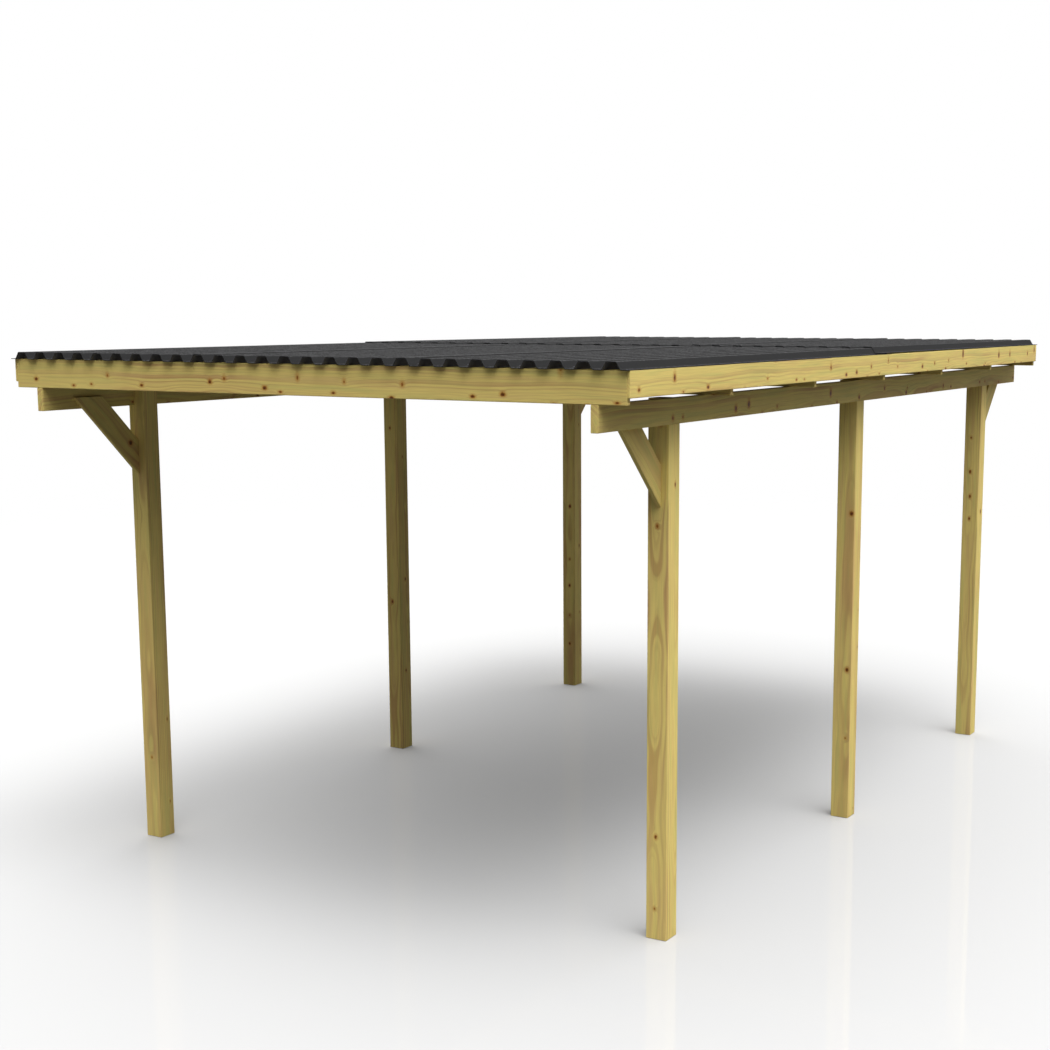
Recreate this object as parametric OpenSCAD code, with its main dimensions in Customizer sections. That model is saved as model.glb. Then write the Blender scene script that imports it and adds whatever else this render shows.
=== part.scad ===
// Free-standing single carport with a flat roof, in sawn softwood with ribbed roof sheets.
// Millimetres. X runs across, the front faces -Y, Z is up, and the origin is at the floor's centre.

/* [Overall] */
// Width over the outer faces of the side boards
carport_w = 3044; // [2600:1:3600]
// Length from the front face to the rear face
carport_l = 5000; // [4200:1:6000]
// Headroom from the floor to the underside of the beams
clear_h = 2042; // [1900:1:2400]

/* [Posts] */
// Side of a square post
post_w = 90; // [80:1:120]
// Reach of the roof beyond the outer faces of the posts
side_reach = 127; // [60:1:240]
// Reach of the beams beyond the end posts
end_reach = 535; // [400:1:700]

/* [Beams and braces] */
// Thickness of a beam, and depth of the post's notch for it
beam_t = 32; // [22:1:36]
// Height of a beam
beam_h = 100; // [80:1:140]
// Thickness of a brace
brace_t = 18; // [12:1:36]
// Width of a brace across its grain
brace_w = 115; // [80:1:130]
// Drop from the beam's underside to the brace's lowest point
brace_drop = 317; // [240:1:340]
// Height of the brace's top end above the beam's underside
brace_lap = 52; // [20:1:70]

/* [Rafters and side boards] */
// Number of rafters, with the front and rear ones
rafter_count = 7; // [5:2:9]
// Thickness of a rafter
rafter_t = 24; // [20:1:45]
// Height of a rafter
rafter_h = 122; // [100:1:160]
// Thickness of a side board
board_t = 12; // [10:1:24]
// Height of a side board
board_h = 97; // [70:1:98]

/* [Roof sheets] */
// Number of sheets across the roof
sheet_cols = 3; // [3:1:3]
// Ridges that each sheet adds to the roof
sheet_ridges = 9; // [7:1:10]
// Width of the flat top of a ridge
ridge_top = 40; // [24:1:44]
// Sideways run of a ridge's sloping web
web_run = 17; // [12:1:20]
// Height of a ridge above the trough
ridge_h = 28; // [18:1:40]
// Thickness of the sheet, measured straight up so that laps nest
sheet_t = 2.4; // [0.8:0.1:3]
// Flat rim beside the first and the last ridge, which covers the side board
rim = 28; // [12:1:40]
// Overhang of the sheets at the front and at the rear
overhang = 20; // [0:1:40]
// Reach of the rear sheets ahead of the middle line
lap_ahead = 90; // [60:1:160]
// Reach of the front sheets behind the middle line
lap_behind = 60; // [40:1:160]

/* [Hidden] */
// Heights of the stacked layers
rafter_z = clear_h + beam_h;
roof_z = rafter_z + rafter_h;
// Lengths and places
rafter_l = carport_w - 2 * board_t;
rafter_step = (carport_l - rafter_t) / (rafter_count - 1);
front_y = -carport_l / 2;
post_face_x = carport_w / 2 - side_reach;
row_x = post_face_x - post_w / 2;
post_gap = carport_l / 2 - end_reach - post_w / 2;
// Ridges: half of the top, half of the foot, and the spacing that fills the roof's width
ridge_count = sheet_cols * sheet_ridges;
top_half = ridge_top / 2;
foot_half = top_half + web_run;
pitch = (carport_w - 2 * rim - 2 * foot_half) / (ridge_count - 1);
// A web that rises by one sheet thickness moves sideways by this much
web_shift = sheet_t * web_run / ridge_h;
// Lengths of the two rows of sheets, and the slope that lets the rear row lie on the front row
front_sheet_l = carport_l / 2 + overhang + lap_behind;
rear_sheet_l = carport_l / 2 + overhang + lap_ahead;
rear_slope = atan(sheet_t / (carport_l / 2 + overhang - lap_behind));
// Room between a front sheet's cut corner and the rear sheets' edge
corner_gap = 4;

wood = "#c9b27c";
shaded_wood = "#b39b66";
roof_grey = "#535456";

SIDES = ["left", "right"];
ENDS = ["front", "middle", "rear"];
COLS = ["left", "middle", "right"];
RAFTERS = [
  for (i = [0 : rafter_count - 1])
    i == 0 ? "front_rafter" : i == rafter_count - 1 ? "rear_rafter" : str("rafter_", i + 1)
];

// The right-hand pieces are drawn, and the left-hand ones are their mirror images.
module on_side(side) {
  if (side == "left") mirror([1, 0, 0]) children();
  else children();
}

// A post with a notch in its outer top, as deep and as high as the beam.
module post(end, side) {
  along = end == "front" ? -post_gap : end == "rear" ? post_gap : 0;
  color(wood)
    on_side(side)
      translate([row_x, along, 0])
        difference() {
          translate([-post_w / 2, -post_w / 2, 0]) cube([post_w, post_w, rafter_z]);
          translate([post_w / 2 - beam_t, -post_w, clear_h]) cube([post_w, 2 * post_w, 2 * beam_h]);
        }
}

// A beam on edge in the notches, flush with the posts and as long as the roof.
module beam(side) {
  color(shaded_wood)
    on_side(side)
      translate([post_face_x - beam_t, front_y, clear_h]) cube([beam_t, carport_l, beam_h]);
}

// A brace at 45 degrees: its lower end butts the post, and its level top end lies on the beam's inner face.
module brace(end, side) {
  height = brace_drop + brace_lap;
  plumb_cut = brace_w * sqrt(2);
  color(shaded_wood)
    on_side(side)
      mirror([0, end == "front" ? 1 : 0, 0])
        translate([post_face_x - beam_t - brace_t, post_gap + post_w / 2, clear_h - brace_drop])
          rotate([90, 0, 90])
            linear_extrude(brace_t)
              polygon([[0, 0], [height, height], [height - plumb_cut, height], [0, plumb_cut]]);
}

// A rafter on edge across both beams.
module rafter(index) {
  color(index == 0 ? wood : shaded_wood)
    translate([-rafter_l / 2, front_y + index * rafter_step, rafter_z])
      cube([rafter_l, rafter_t, rafter_h]);
}

// A board nailed to the rafter ends, level with their tops.
module side_board(side) {
  color(wood)
    on_side(side)
      translate([rafter_l / 2, front_y, roof_z - board_h]) cube([board_t, carport_l, board_h]);
}

function ridge_x(i) = rim + foot_half - carport_w / 2 + i * pitch;

// The underside of one ridge, from foot to foot.
function ridge_line(i) = let (x = ridge_x(i))
  [[x - foot_half, 0], [x - top_half, ridge_h], [x + top_half, ridge_h], [x + foot_half, 0]];

// The underside of the ridge that laps over the next sheet's first ridge.
function lap_line(i) = let (x = ridge_x(i), top = ridge_h + sheet_t)
  [[x - foot_half - web_shift, 0], [x - top_half, top], [x + top_half, top], [x + foot_half, sheet_t]];

// The underside of a whole sheet: its own ridges, then the rim or the lap.
function sheet_line(col) = let (first = col * sheet_ridges, last = first + sheet_ridges - 1)
  concat(
    col == 0 ? [[-carport_w / 2, 0]] : [],
    [for (i = [first : last]) each ridge_line(i)],
    col == sheet_cols - 1 ? [[carport_w / 2, 0]] : lap_line(last + 1)
  );

// A ribbed sheet that runs back from y = 0, lying on z = 0.
module ribbed_sheet(col, length) {
  under = sheet_line(col);
  over = [for (i = [len(under) - 1 : -1 : 0]) under[i] + [0, sheet_t]];
  translate([0, length, 0])
    rotate([90, 0, 0])
      linear_extrude(length)
        polygon(concat(under, over));
}

// A front sheet. Its lapping ridge stops where the rear sheets begin, so that four corners never stack.
module front_sheet(col) {
  lap_x = ridge_x((col + 1) * sheet_ridges) - foot_half - web_shift;
  cut_y = carport_l / 2 + overhang - lap_ahead - corner_gap;
  color(roof_grey)
    translate([0, front_y - overhang, roof_z])
      difference() {
        ribbed_sheet(col, front_sheet_l);
        if (col < sheet_cols - 1)
          translate([lap_x, cut_y, -ridge_h]) cube([2 * pitch, carport_l, 3 * ridge_h]);
      }
}

// A rear sheet. It lies on the front sheets at the lap and comes down to the rear rafter.
module rear_sheet(col) {
  color(roof_grey)
    translate([0, carport_l / 2 + overhang, roof_z])
      rotate([-rear_slope, 0, 0])
        translate([0, -rear_sheet_l, 0])
          ribbed_sheet(col, rear_sheet_l);
}

for (e = ENDS, s = SIDES)
  post(e, s);
for (s = SIDES)
  beam(s);
for (e = ["front", "rear"], s = SIDES)
  brace(e, s);
for (i = [0 : rafter_count - 1])
  rafter(i);
for (s = SIDES)
  side_board(s);
for (c = [0 : sheet_cols - 1])
  front_sheet(c);
for (c = [0 : sheet_cols - 1])
  rear_sheet(c);
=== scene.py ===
import math

import bmesh
import bpy
import numpy as np
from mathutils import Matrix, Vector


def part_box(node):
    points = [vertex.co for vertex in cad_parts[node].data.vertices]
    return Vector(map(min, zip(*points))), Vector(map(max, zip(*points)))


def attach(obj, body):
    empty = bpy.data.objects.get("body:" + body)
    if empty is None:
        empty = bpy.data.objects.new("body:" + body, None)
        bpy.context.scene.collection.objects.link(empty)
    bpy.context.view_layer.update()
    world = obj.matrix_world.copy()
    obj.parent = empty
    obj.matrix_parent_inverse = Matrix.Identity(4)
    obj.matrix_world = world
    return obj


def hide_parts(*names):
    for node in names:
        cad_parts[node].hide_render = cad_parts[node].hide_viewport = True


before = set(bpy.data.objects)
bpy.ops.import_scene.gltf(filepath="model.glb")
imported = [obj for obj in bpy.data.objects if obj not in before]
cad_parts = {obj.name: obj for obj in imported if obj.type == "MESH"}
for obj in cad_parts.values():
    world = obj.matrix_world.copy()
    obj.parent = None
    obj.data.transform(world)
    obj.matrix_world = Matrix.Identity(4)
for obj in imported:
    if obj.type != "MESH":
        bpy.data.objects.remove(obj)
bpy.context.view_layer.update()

# Posts
# Six square posts of pressure-treated pine, planed on four sides with eased edges.
# They stand on their sawn ends, and each outer top is notched so that the beam sits flush in it.
SIDES = {"left": -1, "right": 1}
ENDS = {"front": -1, "middle": 0, "rear": 1}
PLANED_EDGE = 0.003
ARRIS = PLANED_EDGE * 0.7
SAME_POINT = 1e-6
# The heart's place across the post and behind its middle, the share of branches that show, and the tone,
# with the right row painted paler: painted light from the keys at the right
POST_HEART_ACROSS = (-0.02, 0.02)
POST_HEART_DEPTH = (0.022, 0.04)
POST_KNOTS = 0.14
POST_PALENESS_AND_PAINTED_LIGHT = {"left": 1.0, "right": 1.09}
# Growth of the trunk: the width of a year and of the heart, how often warm years come, how far it wanders
# and leans, the length of trunk that pieces are cut from, and their spread of tones
RING_WIDTH = 0.0052
HEART_WIDTH = 0.09
WARM_RUNS = 0.28
WANDER = 0.036
LEAN = 0.009
TRUNK_LENGTH = 60
TONES = (0.96, 1.04)
# Knots: their spacing, usual depth, sizes, ragged edge and halo, then how far from a knot the rings swell
# and by how much
KNOT_SPACING = 0.125
KNOT_DEPTH = 0.1
KNOT_SIZES = (0.0045, 0.0135)
KNOT_RAGGED = 0.0035
KNOT_HALO = 0.013
SWELL_REACH = 0.035
SWELL = 0.005
# Waves in a metre, twice across the grain and once along it
WANDER_WAVES = (5.0, 5.0, 1.9)
STREAK_WAVES = (34.0, 34.0, 2.4)
ZONE_WAVES = (9.0, 9.0, 1.8)
FIBRE_WAVES = (520.0, 520.0, 9.0)
RAGGED_WAVES = 160.0
EARLY_WOOD = "#e2cd7a"
LATE_WOOD = "#b99a5c"
SMOOTH = {"interpolation_type": "SMOOTHSTEP"}
COLOURS = {"data_type": "RGBA"}
draw = np.random.default_rng(11)


def linear(hex_colour):
    """Turns an sRGB hex colour into the linear colour of a shader socket."""
    srgb = np.array([int(hex_colour[i:i + 2], 16) / 255 for i in (1, 3, 5)])
    rgb = np.where(srgb <= 0.04045, srgb / 12.92, ((srgb + 0.055) / 1.055) ** 2.4)
    return (*rgb.tolist(), 1.0)


def add(tree, kind, inputs=None, **settings):
    """Adds a node, sets its properties, and sets or links its inputs. A node given as a value means its
    first output. A map range takes its value as 0, the range it comes from as 1 and 2, and the range it
    goes to as 3 and 4."""
    node = tree.nodes.new(kind)
    for key, value in settings.items():
        setattr(node, key, value)
    for key, value in (inputs or {}).items():
        if isinstance(value, bpy.types.Node):
            value = value.outputs[0]
        if isinstance(value, bpy.types.NodeSocket):
            tree.links.new(value, node.inputs[key])
        else:
            node.inputs[key].default_value = value
    return node


def pressure_treated_pine():
    """Pine planed smooth and treated with a green salt: straw-yellow wood with faint growth rings, a redder
    heart, runs of warm years, streaks of green and pink along the grain, and brown knots that run out from
    the heart like spokes. It reads the grain attribute: metres across the heart, metres away from it and
    metres along it."""
    material = bpy.data.materials.new("pressure_treated_pine")
    material.use_nodes = True
    tree = material.node_tree
    shader = tree.nodes["Principled BSDF"]
    grain = add(tree, "ShaderNodeAttribute", attribute_name="grain").outputs["Vector"]
    # A piece's tone; on the right row of posts it also holds painted light
    tone_and_painted_light = add(tree, "ShaderNodeAttribute", attribute_name="tone_and_painted_light").outputs["Fac"]
    knotty = add(tree, "ShaderNodeAttribute", attribute_name="knotty").outputs["Fac"]
    # The trunk wanders by about a centimetre over each metre
    slow = add(tree, "ShaderNodeVectorMath", {0: grain, 1: WANDER_WAVES}, operation="MULTIPLY")
    wander = add(tree, "ShaderNodeTexNoise",
                 {"Vector": slow, "Scale": 1.0, "Detail": 2.0, "Roughness": 0.45})
    centred = add(tree, "ShaderNodeVectorMath", {0: wander.outputs["Color"], 1: (0.5, 0.5, 0.5)},
                  operation="SUBTRACT")
    shift = add(tree, "ShaderNodeVectorMath", {0: centred, 1: (WANDER, WANDER, 0.0)}, operation="MULTIPLY")
    bent = add(tree, "ShaderNodeVectorMath", {0: grain, 1: shift}, operation="ADD")
    flat = add(tree, "ShaderNodeVectorMath", {0: bent, 1: (1.0, 1.0, 0.0)}, operation="MULTIPLY")
    radius = add(tree, "ShaderNodeVectorMath", {0: flat}, operation="LENGTH").outputs["Value"]
    # Knots lie on a sheet unrolled round the heart: the angle times a usual depth, and the length
    parts = add(tree, "ShaderNodeSeparateXYZ", {0: grain})
    angle = add(tree, "ShaderNodeMath", {0: parts.outputs["X"], 1: parts.outputs["Y"]}, operation="ARCTAN2")
    girth = add(tree, "ShaderNodeMath", {0: angle, 1: KNOT_DEPTH}, operation="MULTIPLY")
    unrolled = add(tree, "ShaderNodeCombineXYZ", {0: girth, 1: parts.outputs["Z"]})
    cells = add(tree, "ShaderNodeTexVoronoi",
                {"Vector": unrolled, "Scale": 1 / KNOT_SPACING, "Randomness": 1.0}, voronoi_dimensions="2D")
    chance = add(tree, "ShaderNodeSeparateColor", {0: cells.outputs["Color"]})
    present = add(tree, "ShaderNodeMath", {0: chance.outputs["Red"], 1: knotty}, operation="LESS_THAN")
    size = add(tree, "ShaderNodeMapRange", {0: chance.outputs["Green"], 3: KNOT_SIZES[0], 4: KNOT_SIZES[1]})
    knot_size = add(tree, "ShaderNodeMath", {0: size, 1: present}, operation="MULTIPLY")
    ragged = add(tree, "ShaderNodeTexNoise", {"Vector": grain, "Scale": RAGGED_WAVES, "Detail": 2.0})
    rough_edge = add(tree, "ShaderNodeMapRange", {0: ragged.outputs[0], 3: -KNOT_RAGGED, 4: KNOT_RAGGED})
    away = add(tree, "ShaderNodeMath", {0: cells.outputs["Distance"], 1: KNOT_SPACING, 2: rough_edge},
               operation="MULTIPLY_ADD")
    in_knot = add(tree, "ShaderNodeMath", {0: knot_size, 1: away}, operation="SUBTRACT")
    knot = add(tree, "ShaderNodeMapRange", {0: in_knot, 1: -0.001, 2: 0.0025}, **SMOOTH)
    core = add(tree, "ShaderNodeMapRange", {0: in_knot, 1: 0.0025, 2: 0.007}, **SMOOTH)
    halo = add(tree, "ShaderNodeMapRange", {0: in_knot, 1: -KNOT_HALO, 2: 0.001}, **SMOOTH)
    halo_here = add(tree, "ShaderNodeMath", {0: halo, 1: present}, operation="MULTIPLY")
    # The rings swell round each knot, and no two years are alike
    swell = add(tree, "ShaderNodeMapRange", {0: away, 1: SWELL_REACH, 2: 0.0, 3: 0.0, 4: SWELL}, **SMOOTH)
    swell_here = add(tree, "ShaderNodeMath", {0: swell, 1: present}, operation="MULTIPLY")
    growth = add(tree, "ShaderNodeMath", {0: radius, 1: swell_here}, operation="ADD")
    years = add(tree, "ShaderNodeMath", {0: growth, 1: RING_WIDTH}, operation="DIVIDE")
    season = add(tree, "ShaderNodeTexNoise", {"W": years, "Scale": 1.0, "Detail": 2.0, "Roughness": 0.6},
                 noise_dimensions="1D")
    late = add(tree, "ShaderNodeMapRange", {0: season.outputs[0], 1: 0.42, 2: 0.72}, **SMOOTH)
    # Runs of warm years show as broad streaks on one face and as long pointed arches on the other
    run = add(tree, "ShaderNodeTexNoise", {"W": years, "Scale": WARM_RUNS, "Detail": 1.0},
              noise_dimensions="1D")
    warm = add(tree, "ShaderNodeMapRange", {0: run.outputs[0], 1: 0.5, 2: 0.6}, **SMOOTH)
    heart = add(tree, "ShaderNodeMapRange",
                {0: growth, 1: HEART_WIDTH, 2: 0.7 * HEART_WIDTH, 3: 0.0, 4: 1.0}, **SMOOTH)
    # Streaks along the grain, zones where the late wood is strong, and the single fibres
    long_fibre = add(tree, "ShaderNodeVectorMath", {0: grain, 1: STREAK_WAVES}, operation="MULTIPLY")
    streak = add(tree, "ShaderNodeTexNoise", {"Vector": long_fibre, "Scale": 1.0, "Detail": 3.0})
    zone_place = add(tree, "ShaderNodeVectorMath", {0: grain, 1: ZONE_WAVES}, operation="MULTIPLY")
    zone = add(tree, "ShaderNodeTexNoise", {"Vector": zone_place, "Scale": 1.0, "Detail": 1.0})
    strong = add(tree, "ShaderNodeMapRange", {0: zone.outputs[0], 1: 0.42, 2: 0.66}, **SMOOTH)
    fine_place = add(tree, "ShaderNodeVectorMath", {0: grain, 1: FIBRE_WAVES}, operation="MULTIPLY")
    fibre = add(tree, "ShaderNodeTexNoise", {"Vector": fine_place, "Scale": 1.0, "Detail": 2.0})
    # Colours, from the pale early wood to the knots' dark hearts
    contrast = add(tree, "ShaderNodeMapRange", {0: strong, 3: 0.25, 4: 0.7})
    late_share = add(tree, "ShaderNodeMath", {0: late, 1: contrast}, operation="MULTIPLY")
    years_mix = {"Factor": late_share, "A": linear(EARLY_WOOD), "B": linear(LATE_WOOD)}
    colour = add(tree, "ShaderNodeMix", years_mix, **COLOURS).outputs["Result"]
    heart_band = add(tree, "ShaderNodeMapRange", {0: late, 3: 0.25, 4: 1.0})
    heart_share = add(tree, "ShaderNodeMath", {0: heart, 1: heart_band}, operation="MULTIPLY")
    heart_here = add(tree, "ShaderNodeMath", {0: heart_share, 1: contrast}, operation="MULTIPLY")
    warm_here = add(tree, "ShaderNodeMath", {0: warm, 1: contrast}, operation="MULTIPLY")
    greenish = add(tree, "ShaderNodeMapRange", {0: streak.outputs[0], 1: 0.5, 2: 0.7, 3: 0.0, 4: 0.4})
    pinkish = add(tree, "ShaderNodeMapRange", {0: streak.outputs[0], 1: 0.47, 2: 0.28, 3: 0.0, 4: 0.5})
    halo_soft = add(tree, "ShaderNodeMath", {0: halo_here, 1: 0.5}, operation="MULTIPLY")
    knot_soft = add(tree, "ShaderNodeMath", {0: knot, 1: 0.92}, operation="MULTIPLY")
    stains = [
        (heart_here, "#c69f62"),
        (warm_here, "#bb9060"),
        (greenish, "#b9b76d"),
        (pinkish, "#cfab72"),
        (halo_soft, "#b9782f"),
        (knot_soft, "#995f28"),
        (core, "#5a3415"),
    ]
    for share, stain in stains:
        stained = {"Factor": share, "A": colour, "B": linear(stain)}
        colour = add(tree, "ShaderNodeMix", stained, **COLOURS).outputs["Result"]
    shade = add(tree, "ShaderNodeMapRange", {0: fibre.outputs[0], 1: 0.3, 2: 0.7, 3: 0.93, 4: 1.07})
    piece_tone_and_painted_light = add(tree, "ShaderNodeMath", {0: shade, 1: tone_and_painted_light}, operation="MULTIPLY")
    toned = add(tree, "ShaderNodeVectorMath", {0: colour, "Scale": piece_tone_and_painted_light}, operation="SCALE")
    tree.links.new(toned.outputs[0], shader.inputs["Base Color"])
    # Late wood stands a little proud of the planed face, and knots are smoother
    relief = add(tree, "ShaderNodeMath", {0: late, 1: fibre.outputs[0]}, operation="ADD")
    bump = add(tree, "ShaderNodeBump", {"Height": relief, "Strength": 0.2, "Distance": 0.0005})
    tree.links.new(bump.outputs[0], shader.inputs["Normal"])
    dullness = add(tree, "ShaderNodeMapRange", {0: knot, 3: 0.68, 4: 0.5})
    tree.links.new(dullness.outputs[0], shader.inputs["Roughness"])
    shader.inputs["IOR"].default_value = 1.45
    shader.inputs["Specular IOR Level"].default_value = 0.12
    return material


def planed_section(width, depth, drawn_in=0.0, steps=3):
    """A rectangle with quarter-round corners, as points round its edge. Drawing it in shrinks the corners'
    radius and leaves their centres in place."""
    turn = np.linspace(0, np.pi / 2, steps + 1)[None, :] + np.arange(4)[:, None] * np.pi / 2
    corner = np.array([[1, 1], [-1, 1], [-1, -1], [1, -1]]) * (np.array([width, depth]) / 2 - PLANED_EDGE)
    bend = PLANED_EDGE - drawn_in
    points = corner[:, None, :] + bend * np.stack([np.cos(turn), np.sin(turn)], axis=2)
    return points.reshape(-1, 2)


def timber(node, rings, origin, axes, heart, knots, paleness_and_painted_light):
    """Carries a planed section along a piece. Each ring is a section, its distance along the piece and how
    much that distance grows across the first axis, which makes a slanting cut. The heart is (offset across,
    distance, side), and the grain attribute is measured from it. Knots is the share of branches that show,
    and the last argument is the usual tone of such pieces, from which each one differs a little; for the
    right row of posts it also holds painted light, which makes them paler."""
    axes = np.array(axes, dtype=float)
    sections, distances, slants = (np.array(part) for part in zip(*rings))
    along = distances[:, None] + slants[:, None] * sections[..., 0]
    local = np.concatenate([sections, along[..., None]], axis=2)
    count, around = local.shape[:2]
    points = (np.array(origin) + local @ axes).reshape(-1, 3)
    step = np.arange(around)
    follow = (step + 1) % around
    base = np.arange(count - 1)[:, None] * around
    above = base + around
    quads = np.stack([base + step, base + follow, above + follow, above + step], axis=2).reshape(-1, 4)
    start_cap = step[::-1]
    end_cap = step + (count - 1) * around
    faces = quads.tolist() + [start_cap.tolist(), end_cap.tolist()]
    if np.linalg.det(axes) < 0:
        faces = [face[::-1] for face in faces]
    mesh = bpy.data.meshes.new(node + "_planed")
    mesh.from_pydata(points.tolist(), [], faces)
    across, distance, side = heart
    lean = draw.uniform(-LEAN, LEAN, 2)
    length = local[..., 2]
    from_heart = np.stack([
        local[..., 0] - across - lean[0] * length,
        distance + side * local[..., 1] - lean[1] * length,
        length + draw.uniform(0, TRUNK_LENGTH),
    ], axis=2)
    grain = mesh.attributes.new("grain", "FLOAT_VECTOR", "POINT")
    grain.data.foreach_set("vector", from_heart.astype(np.float32).ravel())
    # Each piece's tone goes on as an attribute, and on the right row of posts it also holds painted light
    for name, value in (("tone_and_painted_light", paleness_and_painted_light * draw.uniform(*TONES)), ("knotty", knots)):
        share = mesh.attributes.new(name, "FLOAT", "POINT")
        share.data.foreach_set("value", np.full(len(points), value, np.float32))
    # Points that two rings share are merged, so that no face is left without an area
    shell = bmesh.new()
    shell.from_mesh(mesh)
    bmesh.ops.remove_doubles(shell, verts=shell.verts, dist=SAME_POINT)
    shell.to_mesh(mesh)
    shell.free()
    mesh.materials.append(pine)
    piece = bpy.data.objects.new(node + "_planed", mesh)
    bpy.context.scene.collection.objects.link(piece)
    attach(piece, "root")
    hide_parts(node)


pine = pressure_treated_pine()
beam_low, beam_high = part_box("right_beam")
notch = beam_high[0] - beam_low[0]
for end in ENDS:
    for side, sign in SIDES.items():
        node = f"{end}_{side}_post"
        low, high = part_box(node)
        width = high[0] - low[0]
        whole = planed_section(width, width)
        tongue = np.minimum(whole, [width / 2 - notch, width])
        foot = planed_section(width, width, ARRIS)
        rings = [(foot, 0.0, 0.0), (whole, ARRIS, 0.0), (whole, beam_low[2], 0.0),
                 (tongue, beam_low[2], 0.0), (tongue, high[2], 0.0)]
        centre = [(low[0] + high[0]) / 2, (low[1] + high[1]) / 2, 0.0]
        axes = [[sign, 0, 0], [0, 1, 0], [0, 0, 1]]
        heart = (draw.uniform(*POST_HEART_ACROSS), draw.uniform(*POST_HEART_DEPTH), -1)
        # The right row of posts is painted paler, which is painted light from the keys at the right
        timber(node, rings, centre, axes, heart, POST_KNOTS, POST_PALENESS_AND_PAINTED_LIGHT[side])

# Beams
# One pine plank on edge along each row of posts, let into the posts' notches so that its face is flush
# with them. Both ends are sawn square, in line with the front and rear faces of the roof.
BEAM_HEART_ACROSS = (-0.08, -0.06)
BEAM_HEART_DEPTH = (0.07, 0.09)
BEAM_KNOTS = 0.5
FRAME_PALENESS = 0.95


def eased_ends(section, length, start_slant=0.0, end_slant=0.0):
    """The rings of a plain piece: each end is drawn in a little, as a sanded arris is."""
    full = section(0.0)
    drawn = section(ARRIS)
    return [(drawn, 0.0, start_slant), (full, ARRIS, start_slant),
            (full, length - ARRIS, end_slant), (drawn, length, end_slant)]


def plank_on_edge(node, heart_across, heart_depth, heart_side, knots, paleness_and_painted_light, depth_axis=0, length_axis=1):
    """A straight plank that fills its node's box: its width stands up, its thickness lies along the depth
    axis, and it runs along the length axis. The heart's place is drawn from the two ranges given."""
    low, high = (np.array(corner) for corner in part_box(node))
    size = high - low
    rings = eased_ends(lambda ease: planed_section(size[2], size[depth_axis], ease), size[length_axis])
    origin = (low + high) / 2
    origin[length_axis] = low[length_axis]
    axes = np.eye(3)[[2, depth_axis, length_axis]]
    heart = (draw.uniform(*heart_across), draw.uniform(*heart_depth), heart_side)
    timber(node, rings, origin, axes, heart, knots, paleness_and_painted_light)


for side, sign in SIDES.items():
    plank_on_edge(f"{side}_beam", BEAM_HEART_ACROSS, BEAM_HEART_DEPTH, sign, BEAM_KNOTS, FRAME_PALENESS)

# Braces
# Short pine planks at 45 degrees that stiffen the corners: the foot is cut plumb and butts the post,
# and the level top end is lapped on the inner face of the beam.
BRACE_WIDTH = 0.115
BRACE_HEART_ACROSS = (-0.02, 0.02)
BRACE_HEART_DEPTH = (0.05, 0.09)
BRACE_KNOTS = 0.35
slope = math.sqrt(0.5)
for end in ("front", "rear"):
    for side, sign in SIDES.items():
        node = f"{end}_{side}_brace"
        low, high = (np.array(corner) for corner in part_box(node))
        size = high - low
        out = ENDS[end]
        post_face = low[1] if out > 0 else high[1]
        # The lower edge runs from the foot's tip to the top end's tip, and the section is centred half a
        # width above it
        length = size[2] / slope - BRACE_WIDTH
        origin = [(low[0] + high[0]) / 2, post_face, low[2] + BRACE_WIDTH * slope]
        rings = eased_ends(lambda ease: planed_section(BRACE_WIDTH, size[0], ease), length, 1.0, -1.0)
        axes = [[0, -out * slope, slope], [1, 0, 0], [0, out * slope, slope]]
        heart = (draw.uniform(*BRACE_HEART_ACROSS), draw.uniform(*BRACE_HEART_DEPTH), sign)
        timber(node, rings, origin, axes, heart, BRACE_KNOTS, FRAME_PALENESS)

# Rafters
# Seven pine planks on edge across both beams, evenly spaced and resting on them.
# The first and the last close the ends of the roof.
RAFTERS = ["front_rafter"] + [f"rafter_{i}" for i in range(2, 7)] + ["rear_rafter"]
RAFTER_HEART_ACROSS = (-0.06, -0.045)
RAFTER_HEART_DEPTH = (0.045, 0.06)
RAFTER_KNOTS = 0.8
for node in RAFTERS:
    plank_on_edge(node, RAFTER_HEART_ACROSS, RAFTER_HEART_DEPTH, -1, RAFTER_KNOTS, FRAME_PALENESS,
                  depth_axis=1, length_axis=0)

# Side boards
# A thin pine board along each side, nailed to the rafters' ends and level with their tops.
# The rafters' lower corners show below it.
BOARD_HEART_ACROSS = (-0.06, -0.05)
BOARD_HEART_DEPTH = (0.05, 0.065)
BOARD_KNOTS = 0.85
BOARD_PALENESS = 1.0
for side, sign in SIDES.items():
    plank_on_edge(f"{side}_side_board", BOARD_HEART_ACROSS, BOARD_HEART_DEPTH, sign,
                  BOARD_KNOTS, BOARD_PALENESS)

# Roof sheets
# Six ribbed sheets of bitumen-soaked fibre board, pressed hot and coated dark grey, three across and two
# along. Each laps one ridge over its neighbour, and the rear row laps over the front row, where it springs
# up a little.
SHEET_COLS = ["left", "middle", "right"]
SHEET_RIDGES = 9
SHEET_T = 0.0024
RIDGE_TOP = 0.040
WEB_RUN = 0.017
RIDGE_H = 0.028
RIM = 0.028
BEND_R = 0.004
LAP_SPRING = 0.003
CORNER_GAP = 0.004
GRIT = 0.008
PATCH = 8 * GRIT
# The share of pale coat on the steep webs, lower than on the level faces: painted shade
WEB_PAINTED_SHADE_SHARE = 0.3
SHEET_DARK = "#1a1a1a"
SHEET_PALE = "#3b3b3c"
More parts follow.
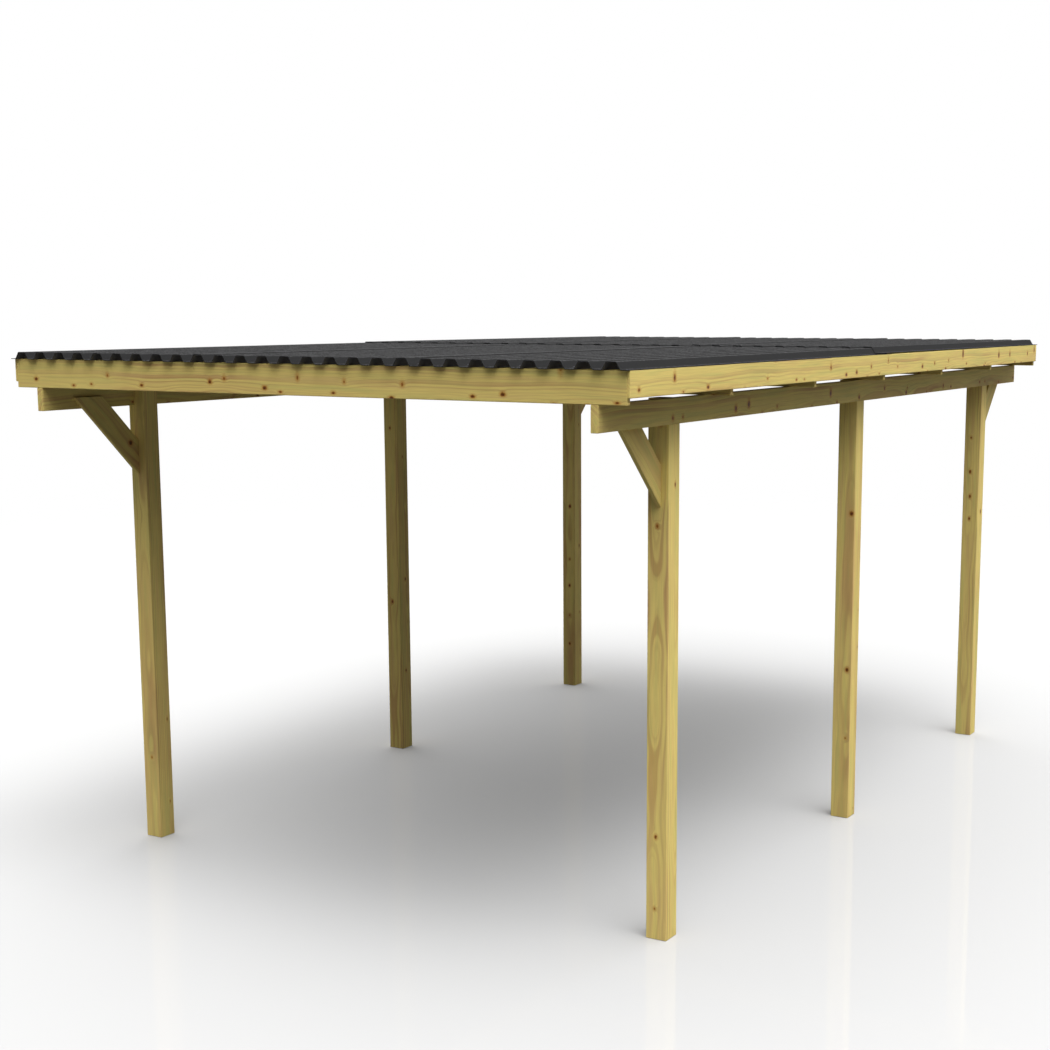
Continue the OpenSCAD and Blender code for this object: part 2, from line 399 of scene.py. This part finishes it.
# The paler grey of the uncoated underside, which is painted light from below
UNDERSIDE_PAINTED_LIGHT_GREY = "#5a5a5a"
roof_low = np.array(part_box("left_side_board")[0])
roof_high = np.array(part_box("right_side_board")[1])
foot_half = RIDGE_TOP / 2 + WEB_RUN
ridge_count = SHEET_RIDGES * len(SHEET_COLS)
roof_width = roof_high[0] - roof_low[0]
pitch = (roof_width - 2 * RIM - 2 * foot_half) / (ridge_count - 1)


def granular_sheet():
    """Fibre board soaked in bitumen and coated dark grey: matt, with coarse specks and hardly any gloss.
    The real grit is a millimetre or two, and it is drawn coarser here so that it shows."""
    material = bpy.data.materials.new("granular_bitumen_sheet")
    material.use_nodes = True
    tree = material.node_tree
    shader = tree.nodes["Principled BSDF"]
    place = add(tree, "ShaderNodeTexCoord").outputs["Object"]
    grit = add(tree, "ShaderNodeTexNoise",
               {"Vector": place, "Scale": 1 / GRIT, "Detail": 2.0, "Roughness": 0.6}).outputs[0]
    patch = add(tree, "ShaderNodeTexNoise", {"Vector": place, "Scale": 1 / PATCH, "Detail": 2.0}).outputs[0]
    both = add(tree, "ShaderNodeMath", {0: patch, 1: 0.25, 2: grit}, operation="MULTIPLY_ADD")
    speck = add(tree, "ShaderNodeMapRange", {0: both, 1: 0.48, 2: 0.78}, **SMOOTH)
    # The grit's specks and bumps show on the level faces. The steep webs are smooth and painted an even,
    # darker grey: painted shade.
    normal = add(tree, "ShaderNodeNewGeometry").outputs["Normal"]
    upward = add(tree, "ShaderNodeSeparateXYZ", {0: normal}).outputs["Z"]
    level = add(tree, "ShaderNodeMapRange", {0: upward, 1: 0.55, 2: 0.9}, **SMOOTH)
    specks_and_painted_web_shade = add(tree, "ShaderNodeMix", {"Factor": level, "A": WEB_PAINTED_SHADE_SHARE, "B": speck}, data_type="FLOAT")
    coat_mix = {"Factor": specks_and_painted_web_shade.outputs["Result"], "A": linear(SHEET_DARK), "B": linear(SHEET_PALE)}
    coat = add(tree, "ShaderNodeMix", coat_mix, **COLOURS).outputs["Result"]
    # The underside has no coat, and it is painted a paler grey: painted light from below in the hollows
    # under the ridges
    painted_underside_light = add(tree, "ShaderNodeMapRange", {0: upward, 1: -0.2, 2: -0.45})
    colour = add(tree, "ShaderNodeMix", {"Factor": painted_underside_light, "A": coat, "B": linear(UNDERSIDE_PAINTED_LIGHT_GREY)}, **COLOURS)
    tree.links.new(colour.outputs["Result"], shader.inputs["Base Color"])
    rough = add(tree, "ShaderNodeMath", {0: level, 1: 0.3}, operation="MULTIPLY")
    bump = add(tree, "ShaderNodeBump", {"Height": grit, "Strength": rough, "Distance": 0.001})
    tree.links.new(bump.outputs[0], shader.inputs["Normal"])
    shader.inputs["Roughness"].default_value = 0.85
    shader.inputs["Specular IOR Level"].default_value = 0.05
    return material


def ridge_points(index, lift=0.0):
    """The four corners of a ridge's underside. A lifted ridge lies on the one below it."""
    x = roof_low[0] + RIM + foot_half + index * pitch
    lean = lift * WEB_RUN / RIDGE_H
    top = RIDGE_H + lift
    half = RIDGE_TOP / 2
    return [(x - foot_half - lean, 0.0), (x - half, top), (x + half, top), (x + foot_half, lift)]


def rounded_bends(corners, steps=3):
    """Replaces each inner corner of a line by a quadratic bend, which leaves the line BEND_R before the
    corner and joins it again BEND_R after the corner."""
    corners = np.array(corners)
    before, at, after = corners[:-2], corners[1:-1], corners[2:]
    leave = at + BEND_R * (before - at) / np.linalg.norm(before - at, axis=1, keepdims=True)
    join = at + BEND_R * (after - at) / np.linalg.norm(after - at, axis=1, keepdims=True)
    t = np.linspace(0, 1, steps + 1)[None, :, None]
    bend = (1 - t) ** 2 * leave[:, None] + 2 * t * (1 - t) * at[:, None] + t ** 2 * join[:, None]
    return np.concatenate([corners[:1], bend.reshape(-1, 2), corners[-1:]])


def swept_sheet(line, start, end, start_lift=0.0):
    """Carries a bent line along Y as a closed strip of the sheet's thickness, measured straight up.
    The start may be lifted, and the strip then slopes down to its end."""
    section = np.concatenate([line, line[::-1] + [0.0, SHEET_T]])
    around = len(section)
    rows = np.array([[start, start_lift], [end, 0.0]])
    x = np.broadcast_to(section[:, 0], (2, around))
    y = np.broadcast_to(rows[:, :1], (2, around))
    z = roof_high[2] + section[:, 1] + rows[:, 1:]
    points = np.stack([x, y, z], axis=2).reshape(-1, 3)
    step = np.arange(around)
    follow = (step + 1) % around
    sides = np.stack([step, step + around, follow + around, follow], axis=1)
    lower = np.arange(len(line) - 1)
    upper = around - 1 - lower
    start_cap = np.stack([lower, lower + 1, upper - 1, upper], axis=1)
    end_cap = start_cap[:, ::-1] + around
    return points, np.concatenate([sides, start_cap, end_cap])


bitumen = granular_sheet()
front_row_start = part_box("front_left_sheet")[0][1]
front_row_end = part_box("front_left_sheet")[1][1]
rear_row_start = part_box("rear_left_sheet")[0][1]
rear_row_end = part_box("rear_left_sheet")[1][1]
lap_lift = LAP_SPRING + SHEET_T * (rear_row_end - rear_row_start) / (rear_row_end - front_row_end)
for row in ("front", "rear"):
    for col, name in enumerate(SHEET_COLS):
        first = col * SHEET_RIDGES
        corners = [(roof_low[0], 0.0)] if col == 0 else []
        corners += [point for index in range(first, first + SHEET_RIDGES) for point in ridge_points(index)]
        last_col = col == len(SHEET_COLS) - 1
        edge = [(roof_high[0], 0.0)] if last_col else ridge_points(first + SHEET_RIDGES, SHEET_T)
        line = rounded_bends(corners + edge)
        if row == "rear":
            strips = [swept_sheet(line, rear_row_start, rear_row_end, lap_lift)]
        elif last_col:
            strips = [swept_sheet(line, front_row_start, front_row_end)]
        else:
            # The lapping ridge stops short of the rear row, so that four corners never stack
            cut = rear_row_start - CORNER_GAP
            narrow = rounded_bends(corners + edge[:1])
            strips = [swept_sheet(line, front_row_start, cut), swept_sheet(narrow, cut, front_row_end)]
        offsets = np.cumsum([0] + [len(strip[0]) for strip in strips[:-1]])
        points = np.concatenate([strip[0] for strip in strips])
        faces = np.concatenate([strip[1] + offset for strip, offset in zip(strips, offsets)])
        node = f"{row}_{name}_sheet"
        mesh = bpy.data.meshes.new(node + "_ribbed")
        mesh.from_pydata(points.tolist(), [], faces.tolist())
        mesh.materials.append(bitumen)
        sheet = bpy.data.objects.new(node + "_ribbed", mesh)
        bpy.context.scene.collection.objects.link(sheet)
        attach(sheet, "root")
        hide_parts(node)

# Roof screws
# Dark coated steel screws with a pressed-on sealing washer, driven through every second trough into each
# rafter. They stay below the ridges, out of sight from the ground.
SCREW_SIDES = 16
SCREW_OUTLINE = np.array([[0.0, 0.0075], [0.0030, 0.0072], [0.0042, 0.0058], [0.0044, 0.0026],
                          [0.0070, 0.0020], [0.0080, 0.0010], [0.0080, -0.0005], [0.0, -0.0005]])


def coated_steel():
    """Steel with a dark baked coat: a smooth, half-matt dark grey that catches a small highlight."""
    material = bpy.data.materials.new("dark_coated_steel")
    material.use_nodes = True
    shader = material.node_tree.nodes["Principled BSDF"]
    shader.inputs["Base Color"].default_value = linear("#2e2e30")
    shader.inputs["Roughness"].default_value = 0.45
    return material


def turned(outline, sides):
    """Turns an outline of (radius, height) points once round the Z axis. Its inner points make rings joined
    by quads, and its two ends lie on the axis, where a fan of triangles closes the shape."""
    turn = np.arange(sides) * 2 * np.pi / sides
    radius, height = outline[1:-1, :1], outline[1:-1, 1:]
    rings = np.stack([radius * np.cos(turn), radius * np.sin(turn), height + 0 * turn], axis=2)
    rings = rings.reshape(-1, 3)
    poles = np.array([[0.0, 0.0, outline[0, 1]], [0.0, 0.0, outline[-1, 1]]])
    step = np.arange(sides)
    follow = (step + 1) % sides
    base = np.arange(len(radius) - 1)[:, None] * sides
    below = base + sides
    quads = np.stack([base + step, below + step, below + follow, base + follow], axis=2).reshape(-1, 4)
    last = len(rings) - sides
    crown = np.stack([np.full(sides, len(rings)), step, follow], axis=1)
    bottom = np.stack([np.full(sides, len(rings) + 1), last + follow, last + step], axis=1)
    return np.concatenate([rings, poles]), quads, np.concatenate([crown, bottom])


trough_x = roof_low[0] + RIM + foot_half + (np.arange(0, ridge_count - 1, 2) + 0.5) * pitch
rafter_y = np.array([(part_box(node)[0][1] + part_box(node)[1][1]) / 2 for node in RAFTERS])
sheet_lift = lap_lift * (rear_row_end - rafter_y) / (rear_row_end - rear_row_start)
top_z = roof_high[2] + SHEET_T + np.where(rafter_y > rear_row_start, sheet_lift, 0.0)
places = np.stack([np.tile(trough_x, len(rafter_y)), np.repeat(rafter_y, len(trough_x)),
                   np.repeat(top_z, len(trough_x))], axis=1)
points, quads, fans = turned(SCREW_OUTLINE, SCREW_SIDES)
all_points = (places[:, None] + points[None]).reshape(-1, 3)
offsets = np.arange(len(places))[:, None, None] * len(points)
all_quads = (offsets + quads).reshape(-1, 4)
all_fans = (offsets + fans).reshape(-1, 3)
mesh = bpy.data.meshes.new("roof_screws")
mesh.from_pydata(all_points.tolist(), [], all_quads.tolist() + all_fans.tolist())
mesh.materials.append(coated_steel())
screws = bpy.data.objects.new("roof_screws", mesh)
bpy.context.scene.collection.objects.link(screws)
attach(screws, "root")

# Camera
# It stands in front of the right-hand corner, just above the height of the roof, and looks a little down.
# The picture is a crop, so the frame is shifted off the lens's axis.
CAMERA_PLACE = (4.388, -7.695, 2.469)
LOOK_DOWN = 9.0
ROLL = 0.05
TURN_LEFT = 30.15
camera_data = bpy.data.cameras.new("camera")
camera = bpy.data.objects.new("camera", camera_data)
bpy.context.scene.collection.objects.link(camera)
camera_data.sensor_width = 36.0
camera_data.lens = 58.58
camera_data.shift_x = -0.0639
camera_data.shift_y = 0.0533
camera.location = CAMERA_PLACE
camera.rotation_euler = (math.radians(90 - LOOK_DOWN), math.radians(ROLL), math.radians(TURN_LEFT))
bpy.context.scene.camera = camera

# Floor and backdrop
# A white studio floor with a faint polish, which runs out into a white backdrop. Near the object it still
# glows a little white, which is painted light that lifts the object's shadow.
# The camera, gloss and glass see it pale. All other rays find it dark, so it throws little light up.
FLOOR_REACH = 60.0
FLOOR_SEEN = "#b0b0b0"
FLOOR_UNSEEN = "#202020"
WHITE = "#ffffff"
POLISH = 0.1
FADE_CENTRE = (-1.6, 0.6, 0.0)
FADE_FROM = 3.8
FADE_TO = 12.5
# The least share of white glow on the floor near the object: painted light in its shadow
LEAST_FADE_PAINTED_GLOW = 0.08
corners = np.array([[-1, -1, 0], [1, -1, 0], [1, 1, 0], [-1, 1, 0]]) * FLOOR_REACH
floor_mesh = bpy.data.meshes.new("studio_floor")
floor_mesh.from_pydata(corners.tolist(), [], [[0, 1, 2, 3]])
floor = bpy.data.objects.new("studio_floor", floor_mesh)
bpy.context.scene.collection.objects.link(floor)
paint = bpy.data.materials.new("white_floor_paint")
paint.use_nodes = True
tree = paint.node_tree
tree.nodes.clear()
path = add(tree, "ShaderNodeLightPath")
direct = add(tree, "ShaderNodeMath", {0: path.outputs["Is Camera Ray"], 1: path.outputs["Is Glossy Ray"]},
             operation="MAXIMUM")
seen = add(tree, "ShaderNodeMath", {0: direct, 1: path.outputs["Is Transmission Ray"]}, operation="MAXIMUM")
whiteness = add(tree, "ShaderNodeMix", {"Factor": seen, "A": linear(FLOOR_UNSEEN), "B": linear(FLOOR_SEEN)},
                **COLOURS)
matt = add(tree, "ShaderNodeBsdfDiffuse", {"Color": whiteness.outputs["Result"]})
polish = add(tree, "ShaderNodeBsdfGlossy", {"Color": linear(WHITE), "Roughness": 0.0})
polished = add(tree, "ShaderNodeMixShader", {"Fac": POLISH, 1: matt, 2: polish})
place = add(tree, "ShaderNodeTexCoord").outputs["Object"]
reach = add(tree, "ShaderNodeVectorMath", {0: place, 1: FADE_CENTRE}, operation="DISTANCE").outputs["Value"]
backdrop_and_painted_glow = add(tree, "ShaderNodeMapRange", {0: reach, 1: FADE_FROM, 2: FADE_TO, 3: LEAST_FADE_PAINTED_GLOW}, **SMOOTH)
seen_backdrop_and_painted_glow = add(tree, "ShaderNodeMath", {0: backdrop_and_painted_glow, 1: seen}, operation="MULTIPLY")
white = add(tree, "ShaderNodeEmission", {"Color": linear(WHITE), "Strength": 1.0})
blended = add(tree, "ShaderNodeMixShader", {"Fac": seen_backdrop_and_painted_glow, 1: polished, 2: white})
add(tree, "ShaderNodeOutputMaterial", {"Surface": blended})
floor_mesh.materials.append(paint)

# Light
# Large soft lights on a dim dome: a strong key high at the right and one at the front right,
# a weaker one at the left and a little behind, and weak fills in front and behind.
DOME_FILL = 0.05
# Degrees above the horizon, degrees from the front round by the right, strength and sharpness
SOFT_LIGHTS = {
    "front right key": (50, 34, 5.9, 28),
    "right key": (70, 76, 15.4, 24),
    "left key": (50, 245, 3.2, 8),
    "high front fill": (66, 350, 1.7, 8),
    "rear fill": (30, 180, 2.4, 4),
}
world = bpy.data.worlds.new("studio_dome")
bpy.context.scene.world = world
world.use_nodes = True
tree = world.node_tree
tree.nodes.clear()
path = add(tree, "ShaderNodeLightPath")
direction = add(tree, "ShaderNodeTexCoord").outputs["Generated"]
dome = DOME_FILL
for height, turn, strength, sharpness in SOFT_LIGHTS.values():
    rise = math.radians(height)
    swing = math.radians(turn)
    level = math.cos(rise)
    toward = (level * math.sin(swing), -level * math.cos(swing), math.sin(rise))
    facing = add(tree, "ShaderNodeVectorMath", {0: direction, 1: toward}, operation="DOT_PRODUCT")
    in_front = add(tree, "ShaderNodeMath", {0: facing.outputs["Value"], 1: 0.0}, operation="MAXIMUM")
    lobe = add(tree, "ShaderNodeMath", {0: in_front, 1: float(sharpness)}, operation="POWER")
    dome = add(tree, "ShaderNodeMath", {0: lobe, 1: strength, 2: dome}, operation="MULTIPLY_ADD")
# A sharp mirror ray, as from the floor's polish, finds a dark room, so that only the object shows in it
mirrored = path.outputs["Is Singular Ray"]
unmirrored = add(tree, "ShaderNodeMath", {0: 1.0, 1: mirrored}, operation="SUBTRACT")
dome = add(tree, "ShaderNodeMath", {0: dome, 1: unmirrored}, operation="MULTIPLY")
lamp = add(tree, "ShaderNodeBackground", {"Color": linear(WHITE), "Strength": dome})
backdrop = add(tree, "ShaderNodeBackground", {"Color": linear(WHITE), "Strength": 1.0})
glossed = add(tree, "ShaderNodeMath", {0: path.outputs["Is Glossy Ray"], 1: mirrored}, operation="SUBTRACT")
seen = add(tree, "ShaderNodeMath", {0: path.outputs["Is Camera Ray"], 1: glossed}, operation="MAXIMUM")
shown = add(tree, "ShaderNodeMath", {0: seen, 1: path.outputs["Is Transmission Ray"]}, operation="MAXIMUM")
sky = add(tree, "ShaderNodeMixShader", {"Fac": shown, 1: lamp, 2: backdrop})
add(tree, "ShaderNodeOutputWorld", {"Surface": sky})
bpy.context.scene.view_settings.view_transform = "Standard"
